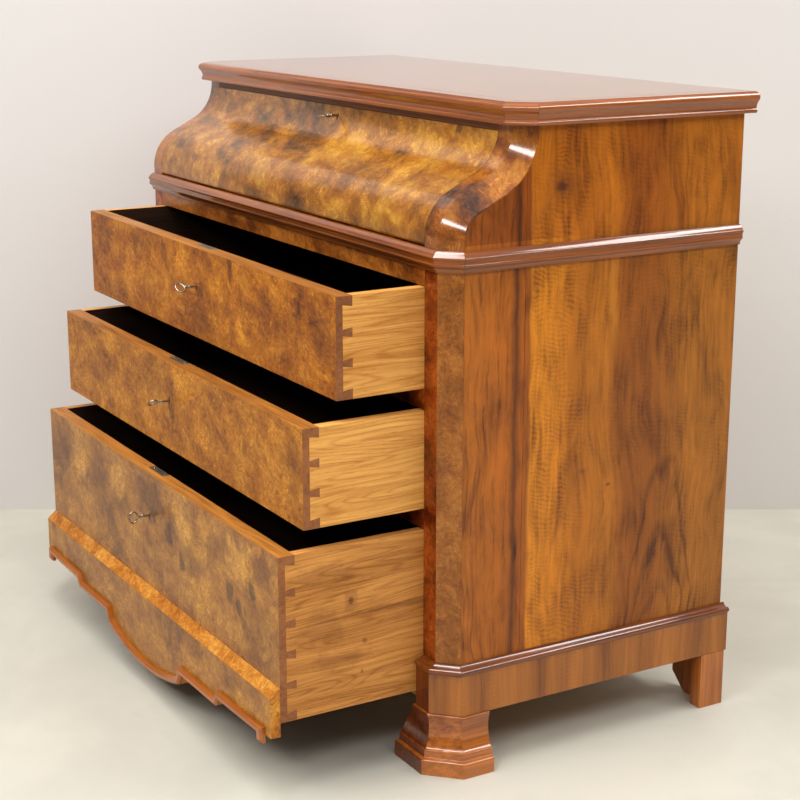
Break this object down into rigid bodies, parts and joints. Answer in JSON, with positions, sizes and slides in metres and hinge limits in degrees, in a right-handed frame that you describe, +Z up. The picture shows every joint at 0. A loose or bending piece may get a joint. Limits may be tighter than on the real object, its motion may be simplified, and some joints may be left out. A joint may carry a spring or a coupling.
{
  "type": "fall-front commode",
  "caption": "Chest of long drawers on moulded bracket feet, with canted corners, a scalloped apron and an ogee fall that opens a writing compartment under the slab.",
  "frame": {"origin": "on the floor, under the middle of the carcass's width and depth", "axes": "+X to the right seen from the front, +Y to the back, +Z up; drawers open along -Y"},
  "size_m": [1.2008, 0.8659, 1.05],
  "materials": {
    "burr_walnut": "french polished burr veneer",
    "figured_walnut": "french polished figured walnut",
    "polished_cherry": "french polished, reddish",
    "top_walnut": "french polished",
    "pale_chestnut": "plain, waxed",
    "softwood": "bare, planed",
    "inner_walnut": "satin",
    "lock_steel": "dull, aged",
    "key_iron": "worn bright",
    "hinge_brass": "aged"
  },
  "bodies": {
    "carcass": {"top_board": "top_walnut", "top_moulding": "polished_cherry", "waist_moulding": "polished_cherry", "base_moulding": "polished_cherry", "plinth_blocks": "figured_walnut", "plinth_rails": "figured_walnut", "front_foot_left": "polished_cherry", "front_foot_right": "polished_cherry", "rear_foot_left": "polished_cherry", "rear_foot_right": "polished_cherry", "corner_post_left": "burr_walnut", "corner_post_right": "burr_walnut", "ogee_post_left": "burr_walnut", "ogee_post_right": "burr_walnut", "side_panel_left": "figured_walnut", "side_panel_right": "figured_walnut", "back_boards": "softwood", "bottom_board": "softwood", "frieze_rail": "burr_walnut", "drawer_rails": "burr_walnut", "top_rail": "burr_walnut", "drawer_runners": "softwood", "drawer_guides": "softwood", "drawer_stops": "softwood", "compartment_floor": "inner_walnut", "compartment_sides": "inner_walnut", "gallery_case": "inner_walnut", "fall_pivots": "hinge_brass"},
    "upper_drawer": {"upper_drawer_front": "burr_walnut", "upper_drawer_sides": "pale_chestnut", "upper_drawer_back": "pale_chestnut", "upper_drawer_bottom": "pale_chestnut", "upper_lock": "lock_steel"},
    "upper_key": {"upper_key": "key_iron"},
    "upper_bolt": {"upper_bolt": "lock_steel"},
    "middle_drawer": {"middle_drawer_front": "burr_walnut", "middle_drawer_sides": "pale_chestnut", "middle_drawer_back": "pale_chestnut", "middle_drawer_bottom": "pale_chestnut", "middle_lock": "lock_steel"},
    "middle_key": {"middle_key": "key_iron"},
    "middle_bolt": {"middle_bolt": "lock_steel"},
    "lower_drawer": {"lower_drawer_front": "burr_walnut", "lower_drawer_sides": "pale_chestnut", "lower_drawer_back": "pale_chestnut", "lower_drawer_bottom": "pale_chestnut", "lower_lock": "lock_steel", "apron": "burr_walnut", "apron_bead": "polished_cherry"},
    "lower_key": {"lower_key": "key_iron"},
    "lower_bolt": {"lower_bolt": "lock_steel"},
    "fall": {"fall_panel": "burr_walnut", "fall_lock": "lock_steel", "fall_hinge_plates": "hinge_brass"},
    "fall_key": {"fall_key": "key_iron"},
    "fall_bolt": {"fall_bolt": "lock_steel"},
    "small_drawer_left": {"small_drawer_left": "inner_walnut", "small_drawer_knob_left": "hinge_brass"},
    "small_drawer_right": {"small_drawer_right": "inner_walnut", "small_drawer_knob_right": "hinge_brass"}
  },
  "joints": [
    {"name": "upper_drawer_slide", "type": "slide", "parent": "carcass", "child": "upper_drawer", "axis": [0, -1, 0], "range_m": [-0.152, 0.248]},
    {"name": "upper_key_turn", "type": "hinge", "parent": "upper_drawer", "child": "upper_key", "pos_m": [0, -0.431, 0.7095], "axis": [0, -1, 0], "range_deg": [0, 180]},
    {"name": "upper_bolt_throw", "type": "slide", "parent": "upper_drawer", "child": "upper_bolt", "axis": [0, 0, 1], "range_m": [0, 0.008]},
    {"name": "middle_drawer_slide", "type": "slide", "parent": "carcass", "child": "middle_drawer", "axis": [0, -1, 0], "range_m": [-0.21, 0.19]},
    {"name": "middle_key_turn", "type": "hinge", "parent": "middle_drawer", "child": "middle_key", "pos_m": [0, -0.489, 0.514], "axis": [0, -1, 0], "range_deg": [0, 180]},
    {"name": "middle_bolt_throw", "type": "slide", "parent": "middle_drawer", "child": "middle_bolt", "axis": [0, 0, 1], "range_m": [0, 0.008]},
    {"name": "lower_drawer_slide", "type": "slide", "parent": "carcass", "child": "lower_drawer", "axis": [0, -1, 0], "range_m": [-0.254, 0.146]},
    {"name": "lower_key_turn", "type": "hinge", "parent": "lower_drawer", "child": "lower_key", "pos_m": [0, -0.533, 0.3135], "axis": [0, -1, 0], "range_deg": [0, 180]},
    {"name": "lower_bolt_throw", "type": "slide", "parent": "lower_drawer", "child": "lower_bolt", "axis": [0, 0, 1], "range_m": [0, 0.008]},
    {"name": "fall_hinge", "type": "hinge", "parent": "carcass", "child": "fall", "pos_m": [0, -0.273, 0.844], "axis": [1, 0, 0], "range_deg": [0, 90]},
    {"name": "fall_key_turn", "type": "hinge", "parent": "fall", "child": "fall_key", "pos_m": [0, -0.153, 0.987], "axis": [0, -1, 0], "range_deg": [0, 170]},
    {"name": "fall_bolt_throw", "type": "slide", "parent": "fall", "child": "fall_bolt", "axis": [0, 0, 1], "range_m": [0, 0.009]},
    {"name": "small_drawer_left_slide", "type": "slide", "parent": "carcass", "child": "small_drawer_left", "axis": [0, -1, 0], "range_m": [0, 0.11]},
    {"name": "small_drawer_right_slide", "type": "slide", "parent": "carcass", "child": "small_drawer_right", "axis": [0, -1, 0], "range_m": [0, 0.11]}
  ],
  "couplings": [
    {"joint": "upper_bolt_throw", "follows": "upper_key_turn", "m_per_rad": 0.002546},
    {"joint": "middle_bolt_throw", "follows": "middle_key_turn", "m_per_rad": 0.002546},
    {"joint": "lower_bolt_throw", "follows": "lower_key_turn", "m_per_rad": 0.002546},
    {"joint": "fall_bolt_throw", "follows": "fall_key_turn", "m_per_rad": 0.003033}
  ]
}
